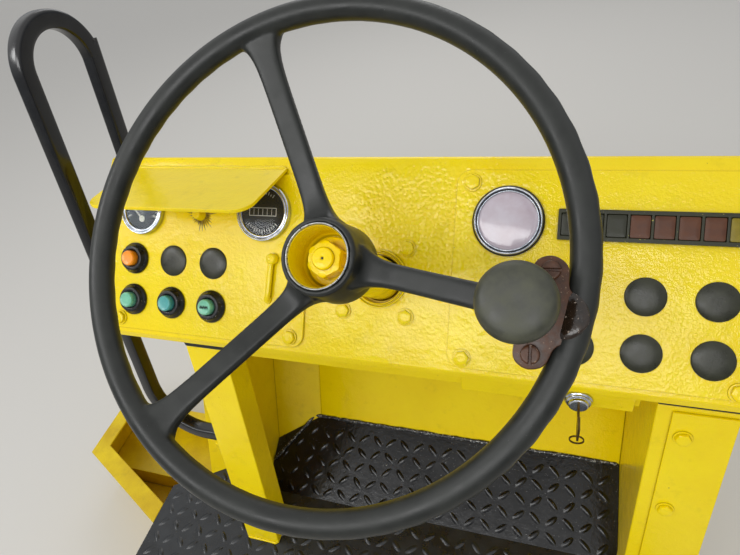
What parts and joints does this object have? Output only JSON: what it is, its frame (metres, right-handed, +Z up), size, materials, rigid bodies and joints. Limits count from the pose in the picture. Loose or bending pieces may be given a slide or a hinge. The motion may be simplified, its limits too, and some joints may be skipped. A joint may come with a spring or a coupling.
{
  "type": "road roller operator console",
  "caption": "Sloping yellow dashboard on two posts over a chequer-plate foot well, with a steering wheel and spinner knob, gauges, push buttons, a grab rail and a boarding step.",
  "frame": {"origin": "centre of the four base bolt holes, on the underside of the base", "axes": "+X to the operator's right, +Y forward, away from the operator, +Z up"},
  "size_m": [1.1045, 0.6035, 0.8602],
  "materials": {
    "yellow_paint": "gloss, orange peel",
    "chequer_black": "satin, worn",
    "gloss_black": "gloss",
    "wheel_black": "satin",
    "knob_black": "matte",
    "bezel_black": "gloss",
    "plug_grey": "satin",
    "pad_rubber": "matte",
    "chrome_trim": "polished",
    "dial_grey": "under glass",
    "lamp_lens": "silvery",
    "cap_orange": "gloss",
    "cap_green": "gloss, pale",
    "cap_teal": "gloss",
    "lens_smoke": "gloss",
    "lens_red": "gloss, unlit",
    "lens_amber": "gloss, unlit",
    "bare_steel": "turned",
    "bush_brass": "turned",
    "clamp_brown": "worn",
    "key_brass": "tarnished"
  },
  "bodies": {
    "console": {"side_sills": "yellow_paint", "cross_sills": "yellow_paint", "corner_sill": "yellow_paint", "base_lugs": "yellow_paint", "bulkhead": "yellow_paint", "corner_wall": "yellow_paint", "left_side_wall": "yellow_paint", "right_side_wall": "yellow_paint", "left_cowl": "yellow_paint", "left_post": "yellow_paint", "right_post": "yellow_paint", "post_cover": "yellow_paint", "dash_shell": "yellow_paint", "dash_end_plates": "yellow_paint", "apron": "yellow_paint", "instrument_panel": "yellow_paint", "lamp_panel": "yellow_paint", "glare_hood": "yellow_paint", "latch_bar": "yellow_paint", "latch_pin": "yellow_paint", "panel_light_stub": "yellow_paint", "key_bracket": "yellow_paint", "column_collar": "yellow_paint", "column_tube": "yellow_paint", "column_flange": "yellow_paint", "step_box": "yellow_paint", "step_deck": "yellow_paint", "step_tread": "yellow_paint", "rail_feet": "yellow_paint", "floor_plate": "chequer_black", "toe_plate": "chequer_black", "grab_rail": "gloss_black", "button_guards": "bezel_black", "gauge_bezels": "bezel_black", "strip_frame": "bezel_black", "blanking_plugs": "plug_grey", "mount_pads": "pad_rubber", "stop_lamp_bezel": "chrome_trim", "key_switch": "chrome_trim", "gauge_faces": "dial_grey", "stop_lamp_lens": "lamp_lens", "orange_cap": "cap_orange", "green_caps": "cap_green", "teal_cap": "cap_teal", "blank_lenses": "lens_smoke", "red_lenses": "lens_red", "amber_lenses": "lens_amber", "column_bushes": "bush_brass", "ignition_key": "key_brass", "key_ring": "key_brass"},
    "steering_wheel": {"wheel": "wheel_black", "hub_cup": "yellow_paint", "hub_washer": "bare_steel", "hub_nut": "yellow_paint", "steering_shaft": "bare_steel", "spinner_clamp": "clamp_brown", "clamp_screws": "bare_steel", "knob_stem": "bare_steel"},
    "spinner_knob": {"spinner_knob": "knob_black"}
  },
  "joints": [
    {"name": "steering", "type": "hinge", "parent": "console", "child": "steering_wheel", "pos_m": [-0.0461, 0.03427, 0.72744], "axis": [0, -0.6461, 0.7632], "continuous": true},
    {"name": "spinner", "type": "hinge", "parent": "steering_wheel", "child": "spinner_knob", "pos_m": [0.1048, 0.015, 0.71112], "axis": [0, -0.6461, 0.7632], "continuous": true}
  ]
}
